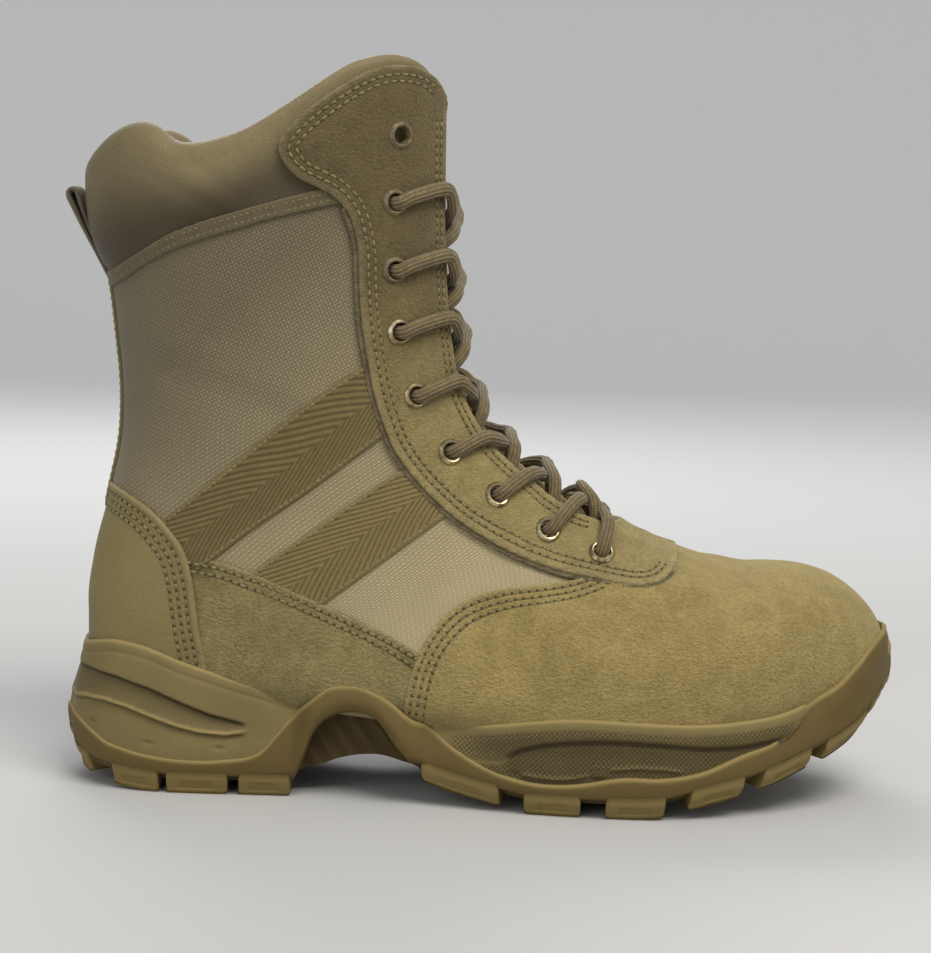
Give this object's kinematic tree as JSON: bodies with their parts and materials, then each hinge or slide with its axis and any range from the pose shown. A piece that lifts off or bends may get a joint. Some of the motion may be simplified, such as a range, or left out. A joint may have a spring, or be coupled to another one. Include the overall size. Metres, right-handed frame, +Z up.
{
  "type": "combat boot",
  "caption": "Eight-inch desert combat boot for the right foot: suede and woven shaft, padded collar, webbing straps, laced eyestay and lugged rubber sole.",
  "frame": {"origin": "on the floor, under the middle of the boot's whole box", "axes": "+X to the toe, +Y to the inner side of the foot, +Z up; the outer side, the one shown, faces -Y"},
  "size_m": [0.3088, 0.1078, 0.263],
  "materials": {
    "outsole_rubber": "matte tan rubber",
    "midsole_foam": "matte moulded foam",
    "suede": "suede",
    "counter_leather": "rough-out leather",
    "collar_leather": "soft padded leather",
    "shaft_fabric": "woven nylon",
    "webbing": "herringbone webbing",
    "thread": "sewing thread",
    "lace_cord": "braided cord",
    "lining": "padded knit lining",
    "eyelet_metal": "plated, slightly worn"
  },
  "bodies": {
    "root": {"outsole": "outsole_rubber", "midsole": "midsole_foam", "insole": "lining", "upper": "shaft_fabric", "collar": "collar_leather", "tongue": "lining", "facing": "suede", "heel_counter": "counter_leather", "pull_loop": "webbing", "lace": "lace_cord", "eyelet_outer_1": "eyelet_metal", "eyelet_outer_2": "eyelet_metal", "eyelet_outer_3": "eyelet_metal", "eyelet_outer_4": "eyelet_metal", "eyelet_outer_5": "eyelet_metal", "eyelet_outer_6": "eyelet_metal", "eyelet_outer_7": "eyelet_metal", "eyelet_outer_8": "eyelet_metal", "eyelet_outer_9": "eyelet_metal", "eyelet_inner_1": "eyelet_metal", "eyelet_inner_2": "eyelet_metal", "eyelet_inner_3": "eyelet_metal", "eyelet_inner_4": "eyelet_metal", "eyelet_inner_5": "eyelet_metal", "eyelet_inner_6": "eyelet_metal", "eyelet_inner_7": "eyelet_metal", "eyelet_inner_8": "eyelet_metal", "eyelet_inner_9": "eyelet_metal"}
  },
  "joints": []
}
